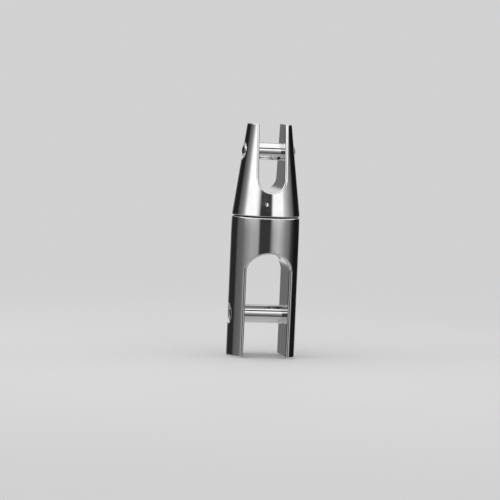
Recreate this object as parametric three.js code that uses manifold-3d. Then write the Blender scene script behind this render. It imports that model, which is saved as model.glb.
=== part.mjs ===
// A double-jaw anchor swivel in polished stainless steel: a wide fork for the anchor's shank below, a narrow
// tapered fork for the chain above, and a shouldered stud that lets one turn on the other.
// Millimetres, +Z up along the swivel's axis. The origin is on the axis, level with the wide fork's two tips.
// The clevis pins lie along X and both jaws are open right through along Y.
import * as THREE from "three";
import { mergeVertices } from "three/addons/utils/BufferGeometryUtils.js";
import Module from "manifold-3d";

const wasm = await Module();
wasm.setup();

// ---------- driving dimensions ----------
const LENGTH = 120; // tip to tip
const GAP = 0.3; // between neighbouring pieces

const BARREL_R = 17.8; // the anchor fork
const BARREL_TOP_Z = 72.2;
const ANCHOR_JAW_W = 22;
const ANCHOR_SPRING_Z = 44.3; // where the jaw's arch starts
const ANCHOR_CROWN_Z = 53.7;

const JOINT_SLIT = 0.6; // the dark line between the two forks
const CONE_BASE_Z = BARREL_TOP_Z + JOINT_SLIT; // the chain fork
const CONE_BASE_R = 17.7;
const CONE_TIP_R = 11.55;
const CHAIN_JAW_W = 13.4;
const CHAIN_ROOT_Z = 85.2; // the bottom of the jaw, a half circle

// The anchor pin's head is a plain collar, sunk in the left arm from its outer end to headLow.
const ANCHOR_PIN = { r: 4.8, z: 21.8, low: -16.75, high: 17, headR: 5.5, headLow: -13.4 };
const CHAIN_PIN = { r: 4.5, z: 105.6, end: 14.4, domeR: 4.2, domeH: 2 }; // both ends stand proud as low domes

const STUD = { r: 5.5, headR: 8, headLow: 54.2, headH: 5.5, topZ: 82.9, socketAcross: 8, socketDeep: 3.5 };
const STUD_END_CHAMFER = 1;
const HEAD_WASHER_T = 1.2;
const FACE_WASHER = { r: 16.6, t: 1.2 };
const BUSH_WALL = 1.4;
const POCKET_SLACK = 0.5; // round the stud's head
// The lock pin goes in at the front, turned a little towards -X, and on through the stud.
const LOCK_PIN = { r: 0.8, z: 79, turn: -9, recess: 0.2, end: 7.5 };

// Grub screws from behind, onto the pins. Low and high are distances behind the axis.
const CHAIN_SCREW = { r: 1.25, x: 9.4, low: CHAIN_PIN.r + GAP, high: 7.1 };
const ANCHOR_SCREW = { r: 1.25, x: -14.1, low: ANCHOR_PIN.headR + GAP, high: 8.6 };

const BARREL_SIDES = 72;
const BORE_SIDES = 40;
const SMALL_SIDES = 20;
const ARCH_STEPS = 24;
const HEX_SIDES = 6;
const REACH = 30; // how far cutters run past the axis

// ---------- derived sizes ----------
const coneR = (z) => CONE_BASE_R + ((CONE_TIP_R - CONE_BASE_R) * (z - CONE_BASE_Z)) / (LENGTH - CONE_BASE_Z);
const CHAIN_SPRING_Z = CHAIN_ROOT_Z + CHAIN_JAW_W / 2;
const STUD_HEAD_TOP_Z = STUD.headLow + STUD.headH;
const SHELF_Z = STUD_HEAD_TOP_Z + GAP + HEAD_WASHER_T + GAP; // what the stud's head pulls up against
const BUSH_R = STUD.r + GAP + BUSH_WALL;
const SEAT_Z = CONE_BASE_Z - GAP - FACE_WASHER.t - GAP; // the face washer's seat in the barrel's top
const POCKET_R = STUD.headR + POCKET_SLACK;

// ---------- materials ----------
const steel = (color, roughness) => new THREE.MeshStandardMaterial({ color, roughness, metalness: 1 });
const polishedSteel = steel(0xc9cacb, 0.12);
const turnedSteel = steel(0xb9babc, 0.28);
const blackenedSteel = steel(0x4a4a4c, 0.4);
const bronze = steel(0xb08a4a, 0.35);
const acetal = new THREE.MeshStandardMaterial({ color: 0x1b1b1d, roughness: 0.5, metalness: 0 });

// ---------- solids ----------
// A closed three.js geometry as a manifold-3d solid with its faces pointing out.
function solid(geometry) {
  const plain = geometry.index ? geometry.toNonIndexed() : geometry.clone();
  plain.deleteAttribute("normal");
  plain.deleteAttribute("uv");
  const merged = mergeVertices(plain, 1e-4);
  const at = merged.attributes.position;
  const index = merged.index.array;
  const corner = (k) => new THREE.Vector3().fromBufferAttribute(at, k);
  const kept = [];
  let volume = 0;
  for (let i = 0; i < index.length; i += 3) {
    const [a, b, c] = index.slice(i, i + 3);
    if (a === b || b === c || a === c) continue;
    kept.push(a, b, c);
    volume += corner(a).dot(corner(b).cross(corner(c)));
  }
  if (volume < 0) kept.reverse();
  const triVerts = new Uint32Array(kept);
  return new wasm.Manifold(new wasm.Mesh({ numProp: 3, vertProperties: at.array, triVerts }));
}

// A solid as a named mesh.
function piece(name, made, material) {
  const { vertProperties, triVerts } = made.getMesh();
  const geometry = new THREE.BufferGeometry();
  geometry.setAttribute("position", new THREE.BufferAttribute(vertProperties, 3));
  geometry.setIndex(new THREE.BufferAttribute(triVerts, 1));
  geometry.computeVertexNormals();
  const mesh = new THREE.Mesh(geometry, material);
  mesh.name = name;
  return mesh;
}

const lathe = (profile, sides) => new THREE.LatheGeometry(
  profile.map(([r, along]) => new THREE.Vector2(r, along)),
  sides,
);

// A profile of [radius, distance along the axis] points, turned about Z.
const turned = (profile, sides = BORE_SIDES) => solid(lathe(profile, sides).rotateX(Math.PI / 2));

// The same about a line along X, at height z. The profile runs towards +X.
const turnedAlongX = (profile, z, sides = BORE_SIDES) =>
  solid(lathe(profile, sides).rotateZ(-Math.PI / 2).translate(0, 0, z));

// The same about a line along Y, at x and z. The profile runs towards +Y.
const turnedAlongY = (profile, x, z, sides = SMALL_SIDES) => solid(lathe(profile, sides).translate(x, 0, z));

// Profiles: a plain rod, and a washer or sleeve.
const rod = (r, low, high) => [[0, low], [r, low], [r, high], [0, high]];
const ring = (inner, outer, low, high) => {
  return [[inner, low], [outer, low], [outer, high], [inner, high], [inner, low]];
};

// Points on a round of the given radius about [r, along], from one angle to another in degrees.
function round(r, along, radius, from, to, steps = 4) {
  return Array.from({ length: steps + 1 }, (_, i) => {
    const angle = THREE.MathUtils.degToRad(from + ((to - from) * i) / steps);
    return [r + radius * Math.cos(angle), along + radius * Math.sin(angle)];
  });
}

// A jaw: a parallel slot along Y that is open at openZ and ends in half an ellipse springing from springZ.
function jaw(width, springZ, rootZ, openZ) {
  const half = width / 2;
  const shape = new THREE.Shape();
  shape.moveTo(half, openZ);
  for (let i = 0; i <= ARCH_STEPS; i++) {
    const angle = (Math.PI * i) / ARCH_STEPS;
    shape.lineTo(half * Math.cos(angle), springZ + (rootZ - springZ) * Math.sin(angle));
  }
  shape.lineTo(-half, openZ);
  shape.closePath();
  const block = new THREE.ExtrudeGeometry(shape, { depth: 2 * REACH, bevelEnabled: false });
  return solid(block.rotateX(Math.PI / 2).translate(0, REACH, 0));
}

// The profile of a hexagonal key's socket, by its width across flats.
const hexRod = (across, low, high) => rod(across / Math.sqrt(3), low, high);

// A rod on the lock pin's line.
function lockRod(r, low, high) {
  const upright = lathe(rod(r, low, high), SMALL_SIDES).translate(0, 0, LOCK_PIN.z);
  return solid(upright.rotateZ(THREE.MathUtils.degToRad(LOCK_PIN.turn)));
}

// ---------- the two forks ----------
const BARREL_TIP_ROUND = 0.8;
const CONE_TIP_ROUND = 0.7;
const FACE_ROUND = 0.35; // the forks' edges where they meet

function anchorFork() {
  const barrel = turned(
    [
      [0, 0],
      ...round(BARREL_R - BARREL_TIP_ROUND, BARREL_TIP_ROUND, BARREL_TIP_ROUND, -90, 0),
      ...round(BARREL_R - FACE_ROUND, BARREL_TOP_Z - FACE_ROUND, FACE_ROUND, 0, 90, 2),
      [0, BARREL_TOP_Z],
    ],
    BARREL_SIDES,
  );
  const pinBore = turnedAlongX(
    [
      [0, -REACH],
      [ANCHOR_PIN.headR + GAP, -REACH],
      [ANCHOR_PIN.headR + GAP, ANCHOR_PIN.headLow + GAP],
      [ANCHOR_PIN.r + GAP, ANCHOR_PIN.headLow + GAP],
      [ANCHOR_PIN.r + GAP, REACH],
      [0, REACH],
    ],
    ANCHOR_PIN.z,
  );
  return barrel
    .subtract(jaw(ANCHOR_JAW_W, ANCHOR_SPRING_Z, ANCHOR_CROWN_Z, -REACH))
    .subtract(turned(rod(POCKET_R, ANCHOR_SPRING_Z, SHELF_Z)))
    .subtract(turned(rod(BUSH_R + GAP, ANCHOR_SPRING_Z, REACH + BARREL_TOP_Z)))
    .subtract(turned(rod(FACE_WASHER.r + GAP, SEAT_Z, REACH + BARREL_TOP_Z)))
    .subtract(pinBore)
    .subtract(turnedAlongY(rod(ANCHOR_SCREW.r + GAP, 0, REACH), ANCHOR_SCREW.x, ANCHOR_PIN.z));
}

function chainFork() {
  const tipR = coneR(LENGTH - CONE_TIP_ROUND);
  const cone = turned(
    [
      [0, CONE_BASE_Z],
      ...round(CONE_BASE_R - FACE_ROUND, CONE_BASE_Z + FACE_ROUND, FACE_ROUND, -90, 0, 2),
      ...round(tipR - CONE_TIP_ROUND, LENGTH - CONE_TIP_ROUND, CONE_TIP_ROUND, 0, 90),
      [0, LENGTH],
    ],
    BARREL_SIDES,
  );
  return cone
    .subtract(jaw(CHAIN_JAW_W, CHAIN_SPRING_Z, CHAIN_ROOT_Z, LENGTH + REACH))
    .subtract(turned(rod(STUD.r + GAP, CONE_BASE_Z - REACH, STUD.topZ + GAP)))
    .subtract(turnedAlongX(rod(CHAIN_PIN.r + GAP, -REACH, REACH), CHAIN_PIN.z))
    .subtract(lockRod(LOCK_PIN.r + GAP, -REACH, LOCK_PIN.end + GAP))
    .subtract(turnedAlongY(rod(CHAIN_SCREW.r + GAP, 0, REACH), CHAIN_SCREW.x, CHAIN_PIN.z));
}

// ---------- the swivel ----------
const THREAD_START_Z = CONE_BASE_Z + 1;
const THREAD_DEEP = 0.3; // the threaded stretch is plain, at the thread's mean radius

function swivelStud() {
  const headEdge = 0.8;
  const meanR = STUD.r - THREAD_DEEP;
  const body = turned([
    [0, STUD.headLow],
    [STUD.headR - headEdge, STUD.headLow],
    [STUD.headR, STUD.headLow + headEdge],
    [STUD.headR, STUD_HEAD_TOP_Z],
    [STUD.r, STUD_HEAD_TOP_Z],
    [STUD.r, THREAD_START_Z],
    [meanR, THREAD_START_Z + THREAD_DEEP],
    [meanR, STUD.topZ - STUD_END_CHAMFER],
    [meanR - STUD_END_CHAMFER, STUD.topZ],
    [0, STUD.topZ],
  ]);
  return body
    .subtract(turned(hexRod(STUD.socketAcross, 0, STUD.headLow + STUD.socketDeep), HEX_SIDES))
    .subtract(lockRod(LOCK_PIN.r + GAP, -REACH, LOCK_PIN.end + GAP));
}

const headWasher = () => turned(ring(STUD.r + GAP, STUD.headR, STUD_HEAD_TOP_Z + GAP, SHELF_Z - GAP));
const shankBush = () => turned(ring(STUD.r + GAP, BUSH_R, SHELF_Z + GAP, SEAT_Z - GAP));
const faceWasher = () => turned(ring(STUD.r + GAP, FACE_WASHER.r, SEAT_Z + GAP, CONE_BASE_Z - GAP));

const studLockPin = () => lockRod(LOCK_PIN.r, LOCK_PIN.recess - coneR(LOCK_PIN.z), LOCK_PIN.end);

// ---------- the clevis pins ----------
const PIN_SOCKET = { across: 5, deep: 3 }; // in the anchor pin's head and in the chain pin's right end

const pinSocket = (low, high, z) => turnedAlongX(hexRod(PIN_SOCKET.across, low, high), z, HEX_SIDES);

function anchorPin() {
  const edge = 0.5;
  const body = turnedAlongX(
    [
      [0, ANCHOR_PIN.low],
      [ANCHOR_PIN.headR - edge, ANCHOR_PIN.low],
      [ANCHOR_PIN.headR, ANCHOR_PIN.low + edge],
      [ANCHOR_PIN.headR, ANCHOR_PIN.headLow],
      [ANCHOR_PIN.r, ANCHOR_PIN.headLow],
      [ANCHOR_PIN.r, ANCHOR_PIN.high - edge],
      [ANCHOR_PIN.r - edge, ANCHOR_PIN.high],
      [0, ANCHOR_PIN.high],
    ],
    ANCHOR_PIN.z,
  );
  const { low, z } = ANCHOR_PIN;
  return body.subtract(pinSocket(low - REACH, low + PIN_SOCKET.deep, z));
}

function chainPin() {
  const domeSteps = 5;
  const { r, z, end, domeR, domeH } = CHAIN_PIN;
  const foot = end - domeH;
  const dome = Array.from({ length: domeSteps + 1 }, (_, i) => {
    const angle = (Math.PI / 2) * (i / domeSteps);
    return [domeR * Math.cos(angle), foot + domeH * Math.sin(angle)];
  });
  const half = [[r, foot - (r - domeR)], ...dome];
  const body = turnedAlongX([...half.map(([radius, x]) => [radius, -x]).reverse(), ...half], z);
  return body.subtract(pinSocket(end - PIN_SOCKET.deep, end + REACH, z));
}

// ---------- the grub screws ----------
const SCREW_SOCKET = { across: 1.3, deep: 1.2 };

function grubScrew({ r, x, low, high }, z) {
  const edge = 0.3;
  const body = turnedAlongY([[0, low], [r - edge, low], [r, low + edge], [r, high], [0, high]], x, z);
  return body.subtract(
    turnedAlongY(hexRod(SCREW_SOCKET.across, high - SCREW_SOCKET.deep, high + REACH), x, z, HEX_SIDES),
  );
}

// ---------- assembly ----------
const swivel = new THREE.Group();
swivel.add(
  piece("anchor_fork", anchorFork(), polishedSteel),
  piece("chain_fork", chainFork(), polishedSteel),
  piece("swivel_stud", swivelStud(), turnedSteel),
  piece("shank_bush", shankBush(), bronze),
  piece("head_thrust_washer", headWasher(), bronze),
  piece("face_thrust_washer", faceWasher(), acetal),
  piece("stud_lock_pin", studLockPin(), polishedSteel),
  piece("anchor_pin", anchorPin(), polishedSteel),
  piece("chain_pin", chainPin(), polishedSteel),
  piece("anchor_pin_lock_screw", grubScrew(ANCHOR_SCREW, ANCHOR_PIN.z), blackenedSteel),
  piece("chain_pin_lock_screw", grubScrew(CHAIN_SCREW, CHAIN_PIN.z), blackenedSteel),
);

export default swivel;
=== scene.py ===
"""The looks of the anchor swivel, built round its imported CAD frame.

Every visible piece is written as a distance function in millimetres (negative inside the metal), meshed on a
grid, pulled onto the exact surface and given the surface's exact normals, so that polished steel reflects
cleanly, and nearly every edge that shows has a real round. Places and sizes come from the frame's boxes where
the frame has them.
"""

import math

import bpy
import numpy as np
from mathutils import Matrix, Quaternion, Vector


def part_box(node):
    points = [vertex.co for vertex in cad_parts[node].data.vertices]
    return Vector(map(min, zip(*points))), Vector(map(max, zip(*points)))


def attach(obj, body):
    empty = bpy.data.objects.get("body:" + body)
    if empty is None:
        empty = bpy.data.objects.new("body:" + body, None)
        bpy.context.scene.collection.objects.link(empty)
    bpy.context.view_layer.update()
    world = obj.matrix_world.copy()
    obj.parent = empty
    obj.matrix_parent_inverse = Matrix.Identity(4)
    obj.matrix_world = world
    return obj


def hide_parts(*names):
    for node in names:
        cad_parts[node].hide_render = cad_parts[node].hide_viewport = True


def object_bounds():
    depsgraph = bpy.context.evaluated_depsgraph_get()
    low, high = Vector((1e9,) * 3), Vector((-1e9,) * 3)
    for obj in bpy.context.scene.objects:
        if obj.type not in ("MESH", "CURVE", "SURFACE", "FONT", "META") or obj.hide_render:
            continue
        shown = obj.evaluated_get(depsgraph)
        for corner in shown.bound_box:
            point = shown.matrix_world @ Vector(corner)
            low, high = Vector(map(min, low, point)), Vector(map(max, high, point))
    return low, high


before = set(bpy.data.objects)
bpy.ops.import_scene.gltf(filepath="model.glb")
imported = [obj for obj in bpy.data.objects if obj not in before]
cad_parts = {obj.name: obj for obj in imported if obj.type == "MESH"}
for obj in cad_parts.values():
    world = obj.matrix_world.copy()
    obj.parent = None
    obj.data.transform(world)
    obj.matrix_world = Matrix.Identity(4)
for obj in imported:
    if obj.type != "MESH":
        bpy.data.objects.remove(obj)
CAD_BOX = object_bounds()
MIDDLE = (CAD_BOX[0] + CAD_BOX[1]) / 2
MM = 0.001


def box_mm(node):
    """A CAD node's lowest and highest corners, in millimetres."""
    low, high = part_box(node)
    return np.array(low) / MM, np.array(high) / MM


def centre_xz(node):
    low, high = box_mm(node)
    return (low[0] + high[0]) / 2, (low[2] + high[2]) / 2


# ---------- sizes, in millimetres ----------
BARREL_HIGH = box_mm("anchor_fork")[1]
CONE_LOW, CONE_HIGH = box_mm("chain_fork")
ANCHOR_PIN_LOW, ANCHOR_PIN_HIGH = box_mm("anchor_pin")
CHAIN_PIN_LOW, CHAIN_PIN_HIGH = box_mm("chain_pin")
STUD_LOW, STUD_HIGH = box_mm("swivel_stud")
LOCK_LOW, LOCK_HIGH = box_mm("stud_lock_pin")
FACE_WASHER_LOW, FACE_WASHER_HIGH = box_mm("face_thrust_washer")

# the wide anchor fork
BARREL_R, BARREL_TOP_Z = BARREL_HIGH[0], BARREL_HIGH[2]
CROWNED, CROWNED_FROM_Z = 0.2, 62.0  # how far the barrel's top draws in, and where it starts to
ANCHOR_JAW_HALF = 11.0
ANCHOR_SPRING_Z, ANCHOR_CROWN_Z = 44.3, 53.7
ANCHOR_EDGE, ARCH_EDGE = 1.1, 1.0  # the rounds along its jaw's straight edges, and over the arch
ARCH_BLEND_BELOW, ARCH_BLEND = 4, 9  # one becomes the other from this far below the spring, over this height
BARREL_TOP_EDGE, ANCHOR_TIP_EDGE = 0.6, 0.9

# the narrow chain fork
CONE_BASE_Z, CONE_TOP_Z = CONE_LOW[2], CONE_HIGH[2]
CONE_BASE_R, CONE_TIP_R = CONE_HIGH[0], 11.55
CONE_SLOPE = (CONE_BASE_R - CONE_TIP_R) / (CONE_TOP_Z - CONE_BASE_Z)
CHAIN_JAW_HALF = 6.7
CHAIN_ROOT_Z = 85.2
CHAIN_EDGE, ROOT_EDGE = 1.0, 0.9  # the rounds along its jaw's edges, and round the root
ROOT_BLEND_ABOVE, ROOT_BLEND = 3, 8  # one becomes the other from this far above the root, over this height
CHAIN_TIP_EDGE, CONE_BASE_EDGE = 0.7, 0.35

# the stud, its washers and its bush
STUD_R = 5.5
STUD_HEAD_R, STUD_HEAD_TALL = STUD_HIGH[0], 5.5
STUD_HEAD_EDGE, STUD_END_EDGE, STUD_NECK = 0.8, 0.6, 0.4  # the neck is the fillet from head to shank
STUD_PITCH, STUD_THREAD_DEEP = 1.5, 0.85
STUD_THREAD_FROM, STUD_THREAD_FULL = CONE_BASE_Z - 0.5, CONE_BASE_Z + 1.5
STUD_SOCKET, STUD_SOCKET_DEEP, STUD_SOCKET_EDGE = 8.0, 3.5, 0.15
STUD_SHANK_FROM_Z = STUD_LOW[2] + 2  # inside the head
RING_BORE_R = STUD_R + 0.3
RING_EDGE = 0.15
SHELF_Z = box_mm("head_thrust_washer")[1][2] + 0.3
SEAT_Z = FACE_WASHER_LOW[2] - 0.3
FACE_WASHER_R = FACE_WASHER_HIGH[0]
BUSH_R = box_mm("shank_bush")[1][0]
POCKET_R = STUD_HEAD_R + 0.5
POCKET_EDGE, STUD_BORE_EDGE = 0.4, 0.3

# the pin that locks the stud
LOCK_R = (LOCK_HIGH[2] - LOCK_LOW[2]) / 2
LOCK_Z = (LOCK_LOW[2] + LOCK_HIGH[2]) / 2
LOCK_TURN = math.radians(-9)
LOCK_START = 0.2 - (CONE_BASE_R - CONE_SLOPE * (LOCK_Z - CONE_BASE_Z))  # just under the cone's surface
LOCK_END = 7.5
LOCK_BORE_END = LOCK_END + 0.1
LOCK_BORE_EDGE, LOCK_PIN_EDGE = 0.04, 0.05

# the two cross pins
ANCHOR_PIN_Z = (ANCHOR_PIN_LOW[2] + ANCHOR_PIN_HIGH[2]) / 2
ANCHOR_PIN_R = 4.8
ANCHOR_HEAD_R = (ANCHOR_PIN_HIGH[2] - ANCHOR_PIN_LOW[2]) / 2
ANCHOR_HEAD_LOW = -13.4
HEAD_SEAT_GAP = 0.3
ANCHOR_ROD_LOW = ANCHOR_PIN_LOW[0] + 1  # inside the head
HEAD_FACE_EDGE, HEAD_SEAT_EDGE, ANCHOR_NECK = 0.25, 0.4, 0.15  # the neck is the fillet from head to rod
ANCHOR_END_EDGE, CHAIN_END_EDGE = 0.5, 0.4
ANCHOR_BORE_EDGE, HEAD_BORE_EDGE = 0.15, 0.12
CHAIN_PIN_Z = (CHAIN_PIN_LOW[2] + CHAIN_PIN_HIGH[2]) / 2
CHAIN_PIN_R = (CHAIN_PIN_HIGH[2] - CHAIN_PIN_LOW[2]) / 2
CHAIN_PIN_END = CHAIN_PIN_HIGH[0]
CHAIN_DOME = 2.1  # how far each end's dome rises
CHAIN_BORE_EDGE = 0.12
PIN_SOCKET, PIN_SOCKET_DEEP, PIN_SOCKET_CHAMFER, PIN_SOCKET_EDGE = 5.0, 3.0, 0.25, 0.12
PIN_PITCH, PIN_THREAD_DEEP = 1.25, 0.7
PIN_RUN_IN, PIN_FADE_OUT = 1.5, 1.2  # how far the thread takes to reach its depth, and to fade before a dome

# the two grub screws
SCREW_R = 1.25
SCREW_PITCH, SCREW_THREAD_DEEP = 0.45, 0.2
SCREW_SOCKET, SCREW_SOCKET_DEEP = 1.3, 1.2
SCREW_POINT = 0.3  # how much narrower its tip is
SCREW_EDGE = 0.12
ANCHOR_SCREW_AT, CHAIN_SCREW_AT = centre_xz("anchor_pin_lock_screw"), centre_xz("chain_pin_lock_screw")
ANCHOR_HOLE_FROM_Y, CHAIN_HOLE_FROM_Y = 5, 4

FIT = 0.07  # the visible slack of a pin or screw in its hole
PRESS_FIT, LOCK_FIT, WASHER_ROOM = 0.05, 0.03, 0.2
SMALL_EDGE = 0.2  # the round of the bush's bore, the face washer's seat and the grub screws' holes
BEYOND, OUTSIDE = 9, 40  # how far a cutter runs past a face, and a place well outside the metal


# ---------- distance functions ----------
FACING_LIMIT = 0.9  # the edges' rounding isn't defined where the two faces are almost parallel
SLANT = 0.7  # turns the sum of two offsets at right angles into a distance
THREAD_SCALE = 0.6  # keeps a thread's value below the true distance, in spite of its steep sides
THREAD_STEEP, THREAD_FLAT = 2.2, 0.1  # how steeply a thread rises, and how wide its groove's flat is


def both(a, b, r=0.0, facing=0.0):
    """Where two solids meet, their edge rounded to r. facing is the cosine between their outer normals."""
    u, v = r + a, r + b
    corner = np.sqrt(np.maximum(u * u + v * v - 2 * u * v * facing, 0) / (1 - facing * facing))
    rounded = ((u > 0) | (v > 0)) & (v > u * facing) & (u > v * facing)
    return np.where(rounded, corner, np.maximum(u, v)) - r


def either(a, b, r=0.0):
    """Two solids joined, the corner between them filled to about r."""
    return -both(-a, -b, r)


def less(a, b, r=0.0):
    """The first solid with the second cut away."""
    return both(a, -b, r)


def smooth(t):
    """0 below 0, 1 above 1, and an S-curve between."""
    t = np.clip(t, 0, 1)
    return t * t * (3 - 2 * t)


def rod_x(p, r, z, x=None):
    """A rod along X. x is (low, high), or None for one with no ends."""
    side = np.hypot(p[1], p[2] - z) - r
    return side if x is None else both(side, np.abs(p[0] - sum(x) / 2) - (x[1] - x[0]) / 2)


def rod_y(p, r, x, z, y):
    side = np.hypot(p[0] - x, p[2] - z) - r
    return both(side, np.abs(p[1] - sum(y) / 2) - (y[1] - y[0]) / 2)


def rod_z(p, r, z, edge=0.0):
    side = np.hypot(p[0], p[1]) - r
    return both(side, np.abs(p[2] - sum(z) / 2) - (z[1] - z[0]) / 2, edge)


def hexagon(u, v, across):
    """A hexagonal prism in the plane of u and v."""
    half = across / 2
    faces = [np.abs(u * math.cos(a) + v * math.sin(a)) - half for a in (0, math.pi / 3, 2 * math.pi / 3)]
    return np.maximum(np.maximum(faces[0], faces[1]), faces[2])


def threaded(u, v, along, outer, pitch, start, full, depth):
    """A right-hand thread's side surface, from plain at start to full depth at full."""
    turn = np.arctan2(v, u) / (2 * math.pi)
    phase = (along / pitch - turn) % 1.0
    crest = smooth((0.5 - np.abs(phase - 0.5)) * THREAD_STEEP - THREAD_FLAT)
    grown = smooth((along - start) / (full - start))
    radius = outer - depth * grown * (1 - crest)
    return (np.hypot(u, v) - radius) * THREAD_SCALE


def jaw(x, z, half, spring, root):
    """A jaw's gap, which ends in half an ellipse at root, on spring's far side.

    Gives its distance, and which way along X and Z the nearest wall lies.
    """
    tall, way = abs(root - spring), np.sign(root - spring)
    beyond = np.maximum((z - spring) * way, 0)
    k = np.hypot(x / half, beyond / tall)
    along_x, along_z = x / half**2, way * beyond / tall**2
    steep = np.maximum(np.hypot(along_x, along_z), 1e-6)
    return k * (k - 1) / steep, along_x / steep, along_z / steep


# ---------- from a distance function to a mesh ----------
CORNERS = np.array([(i, j, k) for i in (0, 1) for j in (0, 1) for k in (0, 1)])
CELL_EDGES = [
    (a, b) for a in range(8) for b in range(a + 1, 8) if np.abs(CORNERS[a] - CORNERS[b]).sum() == 1
]
SLOPE_STEP = 0.01
MARGIN_BELOW, MARGIN_ABOVE = 2.37, 2  # in cells; an odd start keeps flat faces off the grid's planes
STEP_LIMIT = 0.5  # the furthest that a point moves at once, in cells
RELAX_ROUNDS, RELAX_SHARE = 4, 0.5


def slope(shape, v):
    """The gradient of a distance function at each point."""
    out = np.empty_like(v)
    for axis in range(3):
        ahead, behind = v.copy(), v.copy()
        ahead[:, axis] += SLOPE_STEP
        behind[:, axis] -= SLOPE_STEP
        out[:, axis] = (shape(ahead.T) - shape(behind.T)) / (2 * SLOPE_STEP)
    return out


def onto(shape, v, cell, rounds=3):
    """Moves points onto the surface, a limited step at a time."""
    for _ in range(rounds):
        g = slope(shape, v)
        move = g * (shape(v.T) / np.maximum((g * g).sum(1), 1e-6))[:, None]
        length = np.linalg.norm(move, axis=1)
        v = v - move * np.minimum(1, STEP_LIMIT * cell / np.maximum(length, 1e-12))[:, None]
    return v


def crossings(value, cells):
    """For each cell, the mean place within it where the surface crosses its edges."""
    at = np.stack([value[tuple((cells + c).T)] for c in CORNERS], axis=1)
    total, hits = np.zeros((len(cells), 3)), np.zeros(len(cells))
    for a, b in CELL_EDGES:
        crossed = (at[:, a] < 0) != (at[:, b] < 0)
        share = np.where(crossed, at[:, a] / np.where(crossed, at[:, a] - at[:, b], 1), 0)
        total += crossed[:, None] * (CORNERS[a] + share[:, None] * (CORNERS[b] - CORNERS[a]))
        hits += crossed
    return total / hits[:, None]


def faces(inside, index):
    """A quad round each grid edge that the surface crosses, joining its four cells' vertices."""
    quads = []
    for axis in range(3):
        b, c = (axis + 1) % 3, (axis + 2) % 3
        here, there = [slice(None)] * 3, [slice(None)] * 3
        here[axis], there[axis] = slice(None, -1), slice(1, None)
        edges = np.argwhere(inside[tuple(here)] != inside[tuple(there)])
        leaving = inside[tuple(edges.T)]
        ring = []
        for back_b, back_c in ((1, 1), (0, 1), (0, 0), (1, 0)):
            place = edges.copy()
            place[:, b] -= back_b
            place[:, c] -= back_c
            ring.append(index[tuple(place.T)])
        ring = np.stack(ring, axis=1)
        quads.append(np.where(leaving[:, None], ring, ring[:, ::-1]))
    return np.concatenate(quads)


def relaxed(shape, v, quads, cell):
    """The vertices evened out over the surface, each drawn towards the mean of its neighbours."""
    pairs = np.concatenate([quads[:, [i, (i + 1) % 4]] for i in range(4)])
    pairs = np.concatenate([pairs, pairs[:, ::-1]])
    degree = np.bincount(pairs[:, 0], minlength=len(v))
    for _ in range(RELAX_ROUNDS):
        mean = np.stack([np.bincount(pairs[:, 0], v[pairs[:, 1], i], len(v)) for i in range(3)], axis=1)
        v = onto(shape, v + RELAX_SHARE * (mean / degree[:, None] - v), cell, rounds=2)
    return v


def surface(shape, low, high, cell):
    """Vertices and quads of a distance function's surface, one vertex in each grid cell that it crosses."""
    low = low - MARGIN_BELOW * cell
    count = np.ceil((high + MARGIN_ABOVE * cell - low) / cell).astype(int) + 1
    value = shape(np.meshgrid(*[low[i] + cell * np.arange(count[i]) for i in range(3)], indexing="ij"))
    inside = value < 0
    n = count - 1
    filled = sum(inside[i : n[0] + i, j : n[1] + j, k : n[2] + k].astype(np.int8) for i, j, k in CORNERS)
    cells = np.argwhere((filled > 0) & (filled < 8))
    index = np.full(n, -1)
    index[tuple(cells.T)] = np.arange(len(cells))
    quads = faces(inside, index)
    v = onto(shape, low + cell * (cells + crossings(value, cells)), cell)
    return relaxed(shape, v, quads, cell), quads


def placed(name, data):
    """A new object in the scene."""
    obj = bpy.data.objects.new(name, data)
    bpy.context.scene.collection.objects.link(obj)
    return obj


def piece(name, shape, cell, body, node, slot_name):
    """A distance function as a Blender piece, which rides a body and stands for a CAD node."""
    v, quads = surface(shape, *box_mm(node), cell)
    mesh = bpy.data.meshes.new(name)
    mesh.from_pydata((v * MM).tolist(), [], quads.tolist())
    mesh.polygons.foreach_set("use_smooth", np.ones(len(quads), bool))
    g = slope(shape, v)
    mesh.normals_split_custom_set_from_vertices(g / np.maximum(np.linalg.norm(g, axis=1), 1e-9)[:, None])
    mesh.materials.append(MATERIALS[slot_name])
    obj = placed(name, mesh)
    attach(obj, body)
    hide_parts(node)


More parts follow.
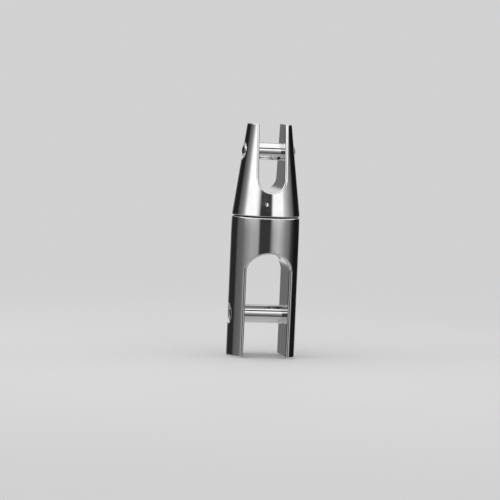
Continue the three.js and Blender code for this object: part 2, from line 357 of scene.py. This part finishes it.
# ---------- materials ----------
class Nodes:
    """A short way to write the node tree of a material or a world.

    Each call makes a node, links what it is given and returns its output.
    """

    def __init__(self, owner):
        owner.use_nodes = True
        self.tree = owner.node_tree
        self.tree.nodes.clear()

    def add(self, kind, inputs=(), output=0, **settings):
        node = self.tree.nodes.new(kind)
        for key, value in settings.items():
            setattr(node, key, value)
        for key, value in dict(inputs).items():
            if isinstance(value, bpy.types.NodeSocket):
                self.tree.links.new(value, node.inputs[key])
            else:
                node.inputs[key].default_value = value
        return node.outputs[output] if len(node.outputs) else node

    def math(self, operation, a, b=0.0, c=0.0):
        return self.add("ShaderNodeMath", {0: a, 1: b, 2: c}, operation=operation)

    def span(self, value, low, high, to_low=0.0, to_high=1.0, smooth_ends=False):
        kind = "SMOOTHSTEP" if smooth_ends else "LINEAR"
        ends = {"Value": value, "From Min": low, "From Max": high, "To Min": to_low, "To Max": to_high}
        return self.add("ShaderNodeMapRange", ends, interpolation_type=kind, clamp=True)

    def noise(self, where, scale, detail=2.0, roughness=0.5, distortion=0.0):
        settings = {"Vector": where, "Scale": scale, "Detail": detail, "Roughness": roughness}
        return self.add("ShaderNodeTexNoise", {**settings, "Distortion": distortion})

    def stretched(self, where, scale):
        return self.add("ShaderNodeMapping", {"Vector": where, "Scale": scale})

    def shaded(self, colour, shade):
        """A colour made lighter or darker."""
        return self.add("ShaderNodeVectorMath", {0: colour, "Scale": shade}, operation="SCALE")

    def ramp(self, value, stops):
        out = self.add("ShaderNodeValToRGB", {"Fac": value})
        elements = out.node.color_ramp.elements
        while len(elements) > 1:
            elements.remove(elements[-1])
        for i, (place, level) in enumerate(stops):
            e = elements[0] if i == 0 else elements.new(place)
            e.position = place
            e.color = (level, level, level, 1)
        return out


SMUDGES, PITS = 70.0, 900.0  # how many there are to a metre
SMEARED, DULLED = 0.10, 0.12  # the roughness that a smear adds, and the brightness that a smudge takes
LINED_LESS, LINED_MORE = 0.25, 0.35  # how far the grain's lines vary the roughness, as shares of it
PITTED, PIT_ROUGH, PIT_DEEP, PIT_SHADE = 0.5, 0.3, 0.8, 0.55


def metal(name, colour, roughness, grain, grain_height, marks):
    """Bare metal. grain is how finely it is lined along (x, y, z), per metre; marks is how handled it is."""
    material = bpy.data.materials.new(name)
    n = Nodes(material)
    place = n.add("ShaderNodeTexCoord", output="Object")
    lines = n.noise(n.stretched(place, grain), 1.0, detail=3.0, roughness=0.6)
    smudge = n.noise(place, SMUDGES, detail=4.0, roughness=0.6, distortion=0.6)
    smears = n.span(smudge, 0.45, 0.75, to_low=0.0, to_high=SMEARED * marks)
    pit_noise = n.noise(place, PITS, detail=1.0, roughness=0.4)
    pits = n.span(pit_noise, 0.80, 0.86, to_low=0.0, to_high=PITTED * marks)
    lined = n.span(lines, 0.35, 0.7, to_low=-LINED_LESS * roughness, to_high=LINED_MORE * roughness)
    marked = n.math("ADD", smears, n.math("MULTIPLY", pits, PIT_ROUGH))
    rough = n.math("ADD", n.math("ADD", lined, roughness), marked)
    height = n.math("SUBTRACT", lines, n.math("MULTIPLY", pits, PIT_DEEP))
    bump = n.add("ShaderNodeBump", {"Height": height, "Strength": 1.0, "Distance": grain_height})
    dull = n.span(smudge, 0.4, 0.8, to_low=1.0, to_high=1.0 - DULLED * marks)
    shade = n.math("MULTIPLY", dull, n.span(pits, 0.0, 1.0, to_low=1.0, to_high=PIT_SHADE))
    settings = {"Base Color": n.shaded(colour, shade), "Metallic": 1.0, "Roughness": rough, "Normal": bump}
    n.add("ShaderNodeOutputMaterial", {"Surface": n.add("ShaderNodeBsdfPrincipled", settings)})
    return material


def plastic(name, colour, roughness):
    """Machined acetal: faint turning lines and a little mottling."""
    material = bpy.data.materials.new(name)
    n = Nodes(material)
    place = n.add("ShaderNodeTexCoord", output="Object")
    lines = n.noise(n.stretched(place, (500, 500, 5000)), 1.0)
    rough = n.span(lines, 0.3, 0.7, to_low=roughness - 0.06, to_high=roughness + 0.08)
    bump = n.add("ShaderNodeBump", {"Height": lines, "Strength": 0.6, "Distance": 3e-6})
    shade = n.span(n.noise(place, 160.0, detail=3.0), 0.3, 0.7, to_low=0.85, to_high=1.15)
    settings = {"Base Color": n.shaded(colour, shade), "Roughness": rough, "Normal": bump}
    n.add("ShaderNodeOutputMaterial", {"Surface": n.add("ShaderNodeBsdfPrincipled", settings)})
    return material


POLISHED = (0.70, 0.70, 0.70)
MATERIALS = {
    "polished_steel": metal("polished_steel", POLISHED, 0.07, (2600, 2600, 90), 4e-7, marks=1.0),
    "pin_steel": metal("pin_steel", POLISHED, 0.06, (60, 2600, 2600), 3e-7, marks=0.6),
    "turned_steel": metal("turned_steel", (0.60, 0.60, 0.61), 0.22, (300, 300, 6000), 2e-6, marks=0.5),
    "screw_steel": metal("screw_steel", (0.42, 0.42, 0.43), 0.28, (2500, 2500, 2500), 2e-6, marks=0.6),
    "bronze": metal("bearing_bronze", (0.66, 0.46, 0.22), 0.27, (400, 400, 5000), 3e-6, marks=0.8),
    "acetal": plastic("acetal", (0.03, 0.03, 0.032), 0.42),
}


# ---------- the forks ----------
def along_lock(p):
    """Points seen from the lock pin's own frame, in which it lies along Y."""
    c, s = math.cos(LOCK_TURN), math.sin(LOCK_TURN)
    return p[0] * c + p[1] * s, p[1] * c - p[0] * s, p[2]


def lock_bore(p):
    return rod_y(along_lock(p), LOCK_R + LOCK_FIT, 0, LOCK_Z, (-OUTSIDE, LOCK_BORE_END))


def anchor_fork(p):
    x, y, z = p
    out = np.hypot(x, y)
    drawn_in = np.clip((z - CROWNED_FROM_Z) / (BARREL_TOP_Z - CROWNED_FROM_Z), 0, 1)
    radius = BARREL_R - CROWNED * drawn_in**2
    gap, wall_x, _ = jaw(x, z, ANCHOR_JAW_HALF, ANCHOR_SPRING_Z, ANCHOR_CROWN_Z)
    facing = np.clip(-wall_x * x / np.maximum(out, 1), -FACING_LIMIT, FACING_LIMIT)
    over_arch = smooth((z - ANCHOR_SPRING_Z + ARCH_BLEND_BELOW) / ARCH_BLEND)
    fork = both(out - radius, -gap, ANCHOR_EDGE + (ARCH_EDGE - ANCHOR_EDGE) * over_arch, facing)
    fork = both(both(fork, z - BARREL_TOP_Z, BARREL_TOP_EDGE), -z, ANCHOR_TIP_EDGE)
    fork = less(fork, rod_z(p, POCKET_R, (ANCHOR_SPRING_Z, SHELF_Z)), POCKET_EDGE)
    fork = less(fork, rod_z(p, BUSH_R + PRESS_FIT, (ANCHOR_SPRING_Z, BARREL_TOP_Z + BEYOND)), SMALL_EDGE)
    fork = less(fork, rod_z(p, FACE_WASHER_R + WASHER_ROOM, (SEAT_Z, BARREL_TOP_Z + BEYOND)), SMALL_EDGE)
    fork = less(fork, rod_x(p, ANCHOR_PIN_R + FIT, ANCHOR_PIN_Z), ANCHOR_BORE_EDGE)
    head_room = rod_x(p, ANCHOR_HEAD_R + FIT, ANCHOR_PIN_Z, (-OUTSIDE, ANCHOR_HEAD_LOW + HEAD_SEAT_GAP))
    fork = less(fork, head_room, HEAD_BORE_EDGE)
    screw_hole = rod_y(p, SCREW_R + FIT, *ANCHOR_SCREW_AT, (ANCHOR_HOLE_FROM_Y, OUTSIDE))
    return less(fork, screw_hole, SMALL_EDGE)


def chain_fork(p):
    x, y, z = p
    lean = math.cos(math.atan(CONE_SLOPE))
    out = np.hypot(x, y)
    side = (out - (CONE_BASE_R - CONE_SLOPE * (z - CONE_BASE_Z))) * lean
    gap, wall_x, wall_z = jaw(x, z, CHAIN_JAW_HALF, CHAIN_ROOT_Z + CHAIN_JAW_HALF, CHAIN_ROOT_Z)
    facing = -lean * (wall_x * x / np.maximum(out, 1) + wall_z * CONE_SLOPE)
    above_root = smooth((z - CHAIN_ROOT_Z - ROOT_BLEND_ABOVE) / ROOT_BLEND)
    edge = ROOT_EDGE + (CHAIN_EDGE - ROOT_EDGE) * above_root
    fork = both(side, -gap, edge, np.clip(facing, -FACING_LIMIT, FACING_LIMIT))
    fork = both(both(fork, z - CONE_TOP_Z, CHAIN_TIP_EDGE), CONE_BASE_Z - z, CONE_BASE_EDGE)
    stud_bore = rod_z(p, STUD_R + PRESS_FIT, (CONE_BASE_Z - BEYOND, STUD_HIGH[2] + 0.2))
    fork = less(fork, stud_bore, STUD_BORE_EDGE)
    fork = less(fork, rod_x(p, CHAIN_PIN_R + FIT, CHAIN_PIN_Z), CHAIN_BORE_EDGE)
    fork = less(fork, lock_bore(p), LOCK_BORE_EDGE)
    screw_hole = rod_y(p, SCREW_R + FIT, *CHAIN_SCREW_AT, (CHAIN_HOLE_FROM_Y, OUTSIDE))
    return less(fork, screw_hole, SMALL_EDGE)


# ---------- the swivel inside ----------
def swivel_stud(p):
    x, y, z = p
    head = rod_z(p, STUD_HEAD_R, (STUD_LOW[2], STUD_LOW[2] + STUD_HEAD_TALL), STUD_HEAD_EDGE)
    thread_ends = STUD_THREAD_FROM, STUD_THREAD_FULL
    shank = threaded(x, y, z, STUD_R, STUD_PITCH, *thread_ends, STUD_THREAD_DEEP)
    shank = both(both(shank, z - STUD_HIGH[2], STUD_END_EDGE), STUD_SHANK_FROM_Z - z)
    stud = either(head, shank, STUD_NECK)
    socket = both(hexagon(x, y, STUD_SOCKET), z - STUD_LOW[2] - STUD_SOCKET_DEEP)
    return less(less(stud, socket, STUD_SOCKET_EDGE), lock_bore(p))


def stud_lock_pin(p):
    """A plain pin, its outer end ground back with the taper and left a little crowned from side to side."""
    x, y, z = along_lock(p)
    rod = rod_y((x, y, z), LOCK_R, 0, LOCK_Z, (LOCK_START, LOCK_END))
    crown, middle = 1.8, -0.52  # the crown's radius, and where along X it is highest
    ground = 0.12  # how far the end is ground back
    into = y - LOCK_START - ground - CONE_SLOPE * (z - LOCK_Z)
    end = np.hypot(x - middle, np.minimum(into - crown, 0)) - crown
    return both(rod, np.where(y < 0, end, -1.0), LOCK_PIN_EDGE)


def washer(node):
    """A ring that fills its CAD box, with the stud's shank through it."""
    low, high = box_mm(node)

    def shape(p):
        outside = rod_z(p, high[0], (low[2], high[2]), RING_EDGE)
        return less(outside, rod_z(p, RING_BORE_R, (low[2] - BEYOND, high[2] + BEYOND)), RING_EDGE)

    return shape


# ---------- pins and screws ----------
def pin_socket(p, z, end):
    """The hexagonal key's socket in a pin's left end, with a small chamfer round its mouth."""
    hexagonal = both(hexagon(p[1], p[2] - z, PIN_SOCKET), p[0] - end - PIN_SOCKET_DEEP)
    mouth = (np.hypot(p[1], p[2] - z) - PIN_SOCKET / 2 - PIN_SOCKET_CHAMFER + (p[0] - end)) * SLANT
    return np.minimum(hexagonal, mouth)


def anchor_pin(p):
    x, end = p[0], ANCHOR_PIN_HIGH[0]
    thread_ends = ANCHOR_JAW_HALF, ANCHOR_JAW_HALF + PIN_RUN_IN
    thread = threaded(p[1], p[2] - ANCHOR_PIN_Z, x, ANCHOR_PIN_R, PIN_PITCH, *thread_ends, PIN_THREAD_DEEP)
    rod = both(both(thread, x - end, ANCHOR_END_EDGE), ANCHOR_ROD_LOW - x)
    head = rod_x(p, ANCHOR_HEAD_R, ANCHOR_PIN_Z)
    head = both(both(head, ANCHOR_PIN_LOW[0] - x, HEAD_FACE_EDGE), x - ANCHOR_HEAD_LOW, HEAD_SEAT_EDGE)
    socket = pin_socket(p, ANCHOR_PIN_Z, ANCHOR_PIN_LOW[0])
    return less(either(rod, head, ANCHOR_NECK), socket, PIN_SOCKET_EDGE)


def chain_pin(p):
    """Worked out turned half round, since its key socket is at the right and its thread in the left arm."""
    x, y, z = -p[0], -p[1], p[2]
    dome_r = (CHAIN_PIN_R**2 + CHAIN_DOME**2) / (2 * CHAIN_DOME)
    depth = PIN_THREAD_DEEP * smooth((CHAIN_PIN_END - CHAIN_DOME - x) / PIN_FADE_OUT)
    thread_ends = CHAIN_JAW_HALF, CHAIN_JAW_HALF + PIN_RUN_IN
    thread = threaded(y, z - CHAIN_PIN_Z, x, CHAIN_PIN_R, PIN_PITCH, *thread_ends, depth)
    middle = CHAIN_PIN_END - dome_r
    dome = np.sqrt(y**2 + (z - CHAIN_PIN_Z) ** 2 + np.maximum(np.abs(x) - middle, 0) ** 2) - dome_r
    socket = pin_socket((x, y, z), CHAIN_PIN_Z, -CHAIN_PIN_END)
    return less(both(thread, dome, CHAIN_END_EDGE), socket, PIN_SOCKET_EDGE)


def grub_screw(node):
    """A set screw with a hexagonal socket in its outer end, towards +Y, and a bevelled tip."""
    low, high = box_mm(node)
    x0, z0 = centre_xz(node)

    def shape(p):
        u, v, along = p[2] - z0, p[0] - x0, p[1]
        thread_ends = low[1] - 1, low[1] - 0.5
        side = threaded(u, v, along, SCREW_R, SCREW_PITCH, *thread_ends, SCREW_THREAD_DEEP)
        cone = (np.hypot(u, v) + (low[1] - along) - SCREW_R + SCREW_POINT) * SLANT
        screw = both(both(both(side, along - high[1], SCREW_EDGE), low[1] - along), cone)
        return less(screw, both(hexagon(u, v, SCREW_SOCKET), high[1] - SCREW_SOCKET_DEEP - along))

    return shape


# ---------- making them ----------
piece("anchor_fork_body", anchor_fork, 0.42, "anchor_end", "anchor_fork", "polished_steel")
piece("chain_fork_body", chain_fork, 0.36, "chain_end", "chain_fork", "polished_steel")
piece("anchor_clevis_pin", anchor_pin, 0.2, "anchor_clevis", "anchor_pin", "pin_steel")
piece("chain_clevis_pin", chain_pin, 0.18, "chain_clevis", "chain_pin", "pin_steel")
piece("swivel_stud_turned", swivel_stud, 0.25, "chain_end", "swivel_stud", "turned_steel")
piece("stud_lock_pin_ground", stud_lock_pin, 0.1, "chain_end", "stud_lock_pin", "pin_steel")
for body, node in (("anchor_end", "anchor_pin_lock_screw"), ("chain_end", "chain_pin_lock_screw")):
    piece(node + "_threaded", grub_screw(node), 0.07, body, node, "screw_steel")
for body, node, slot_name in (
    ("chain_end", "head_thrust_washer", "bronze"),
    ("anchor_end", "shank_bush", "bronze"),
    ("anchor_end", "face_thrust_washer", "acetal"),
):
    piece(node + "_ring", washer(node), 0.3, body, node, slot_name)


# ---------- the studio, in metres ----------
AZIMUTH = math.radians(-10)  # where the camera stands, from -Y towards +X
ELEVATION = math.radians(3.9)
ROLL = math.radians(2.4)
FRAME_WIDE = 0.2575  # what the picture spans at the object
LENS, SENSOR = 200.0, 36.0
ASIDE, ABOVE = 0.00775, 0.0052  # how far the object's middle stands right of and above the picture's


def towards(azimuth, elevation):
    """The direction from the object to a place azimuth round from -Y towards +X, and elevation up."""
    level = math.cos(elevation)
    return Vector((math.sin(azimuth) * level, -math.cos(azimuth) * level, math.sin(elevation)))


def camera():
    data = bpy.data.cameras.new("camera")
    data.lens, data.sensor_width = LENS, SENSOR
    data.clip_end = 50
    cam = placed("camera", data)
    back = towards(AZIMUTH, ELEVATION)
    cam.rotation_mode = "QUATERNION"
    cam.rotation_quaternion = Quaternion(back, ROLL) @ (-back).to_track_quat("-Z", "Y")
    right = cam.rotation_quaternion @ Vector((1, 0, 0))
    up = cam.rotation_quaternion @ Vector((0, 1, 0))
    cam.location = MIDDLE - right * ASIDE - up * ABOVE + back * (FRAME_WIDE * LENS / SENSOR)
    bpy.context.scene.camera = cam


# Brightness round the horizon, as upright steel reflects it: (degrees from the camera towards +X, level). The
# barrel's straight side sees the low ring and the cone's sloping side the high one.
LOW_RING = (
    (-180, 0.75), (-171, 0.75), (-165, 0.2), (-156, 0.17), (-149, 0.03), (-112, 0.03), (-103, 0.14),
    (-80, 0.18), (-66, 0.32), (-46, 0.5), (-24, 0.48), (-17, 0.05), (15, 0.05), (20, 0.22), (28, 0.5),
    (44, 0.68), (58, 0.5), (70, 0.32), (86, 0.2), (98, 0.05), (114, 0.012), (148, 0.012), (154, 0.75),
    (180, 0.75),
)
HIGH_RING = (
    (-180, 0.75), (-171, 0.75), (-165, 0.2), (-156, 0.17), (-149, 0.012), (-116, 0.012), (-107, 0.12),
    (-92, 0.25), (-82, 0.5), (-70, 1.5), (-36, 1.5), (-27, 0.9), (-19, 0.04), (17, 0.04), (24, 1.4),
    (58, 1.4), (66, 0.78), (84, 0.4), (102, 0.17), (110, 0.01), (148, 0.01), (154, 0.75), (180, 0.75),
)
# Brightness over and under the object, as the cross pins reflect it: (degrees up from -Y, level).
MERIDIAN = (
    (-180, 0.75), (-160, 0.7), (-112, 0.62), (-60, 0.55), (-32, 0.5), (-24, 0.03), (-2, 0.03), (6, 1.4),
    (32, 1.4), (36, 0.04), (48, 0.04), (53, 1.4), (126, 1.4), (142, 0.3), (160, 0.7), (180, 0.75),
)
RINGS_MEET = math.radians(-3), math.radians(10)  # the low ring becomes the high one between these
MERIDIAN_TAKES_OVER = math.radians(12), math.radians(22)  # above and below the horizon
BACKDROP = 0.64  # the pale floor and all that is behind it


def studio():
    """Soft bands of light and dark, seen by the steel; the camera sees only a plain pale backdrop."""
    world = bpy.data.worlds.new("studio")
    bpy.context.scene.world = world
    n = Nodes(world)
    direction = n.add("ShaderNodeTexCoord", output="Generated")
    apart = n.add("ShaderNodeSeparateXYZ", {"Vector": direction}).node.outputs
    x, y, z = apart["X"], apart["Y"], apart["Z"]
    forward = n.math("MULTIPLY", y, -1.0)

    def turned(rise, run, stops, offset=0.0):
        """A ramp of stops in degrees by the angle whose tangent is rise over run."""
        angle = n.math("ADD", n.math("ARCTAN2", rise, run), -offset)
        share = n.math("WRAP", n.math("ADD", n.math("DIVIDE", angle, 2 * math.pi), 0.5), 1.0, 0.0)
        return n.ramp(share, [((degrees + 180) / 360, level) for degrees, level in stops])

    def blend(share, a, b):
        unshared = n.math("SUBTRACT", 1.0, share)
        return n.math("ADD", n.math("MULTIPLY", a, unshared), n.math("MULTIPLY", b, share))

    climb = n.math("ARCSINE", z)
    lifted = n.span(climb, *RINGS_MEET, smooth_ends=True)
    horizon = blend(lifted, turned(x, forward, LOW_RING, AZIMUTH), turned(x, forward, HIGH_RING, AZIMUTH))
    away = n.span(n.math("ABSOLUTE", climb), *MERIDIAN_TAKES_OVER, smooth_ends=True)
    seen = blend(away, horizon, turned(z, forward, MERIDIAN))
    looking = n.add("ShaderNodeLightPath", output="Is Camera Ray")
    pale = n.add("ShaderNodeMix", {"Factor": looking, "A": seen, "B": BACKDROP})
    background = n.add("ShaderNodeBackground", {"Color": pale, "Strength": 1.0})
    n.add("ShaderNodeOutputWorld", {"Surface": background})


FLOOR_R, FLOOR_SIDES = 6.0, 96
FLOOR_DROP = 0.0001  # it lies just below the tips
FLOOR_DARK, FLOOR_LIGHT = 0.54, 0.56
FLOOR_PLAIN_FROM, FLOOR_PLAIN = 0.12, 0.5  # it takes the object's shade near the middle and is even beyond


def floor():
    """A plain pale floor under the wide fork's tips, which fades into the backdrop. No steel reflects it."""
    mesh = bpy.data.meshes.new("floor")
    ground = CAD_BOX[0][2] - FLOOR_DROP
    turns = [2 * math.pi * i / FLOOR_SIDES for i in range(FLOOR_SIDES)]
    rim = [(FLOOR_R * math.cos(turn), FLOOR_R * math.sin(turn), ground) for turn in turns]
    mesh.from_pydata(rim, [], [tuple(range(FLOOR_SIDES))])
    material = bpy.data.materials.new("pale_floor")
    n = Nodes(material)
    place = n.add("ShaderNodeTexCoord", output="Object")
    shade = n.span(n.noise(place, 6.0, detail=3.0), 0.3, 0.7, to_low=FLOOR_DARK, to_high=FLOOR_LIGHT)
    lit = n.add("ShaderNodeBsdfPrincipled", {"Base Color": shade, "Roughness": 0.9})
    plain = n.add("ShaderNodeEmission", {"Color": (BACKDROP, BACKDROP, BACKDROP, 1)})
    out = n.add("ShaderNodeVectorMath", {0: place}, operation="LENGTH", output="Value")
    even = n.span(out, FLOOR_PLAIN_FROM, FLOOR_PLAIN, smooth_ends=True)
    n.add("ShaderNodeOutputMaterial", {"Surface": n.add("ShaderNodeMixShader", {0: even, 1: lit, 2: plain})})
    mesh.materials.append(material)
    obj = placed("floor", mesh)
    obj.visible_glossy = False


def lamp(name, azimuth, elevation, distance, size, power):
    """A soft square light aimed at the object's middle, left out of what the steel reflects."""
    data = bpy.data.lights.new(name, "AREA")
    data.shape, data.size, data.energy = "SQUARE", size, power
    obj = placed(name, data)
    back = towards(math.radians(azimuth), math.radians(elevation))
    obj.location = MIDDLE + back * distance
    obj.rotation_mode = "QUATERNION"
    obj.rotation_quaternion = (-back).to_track_quat("-Z", "Y")
    obj.visible_glossy = False


bpy.context.scene.view_settings.view_transform = "Standard"
camera()
studio()
floor()
lamp("key", azimuth=-45, elevation=60, distance=1.2, size=0.9, power=3)
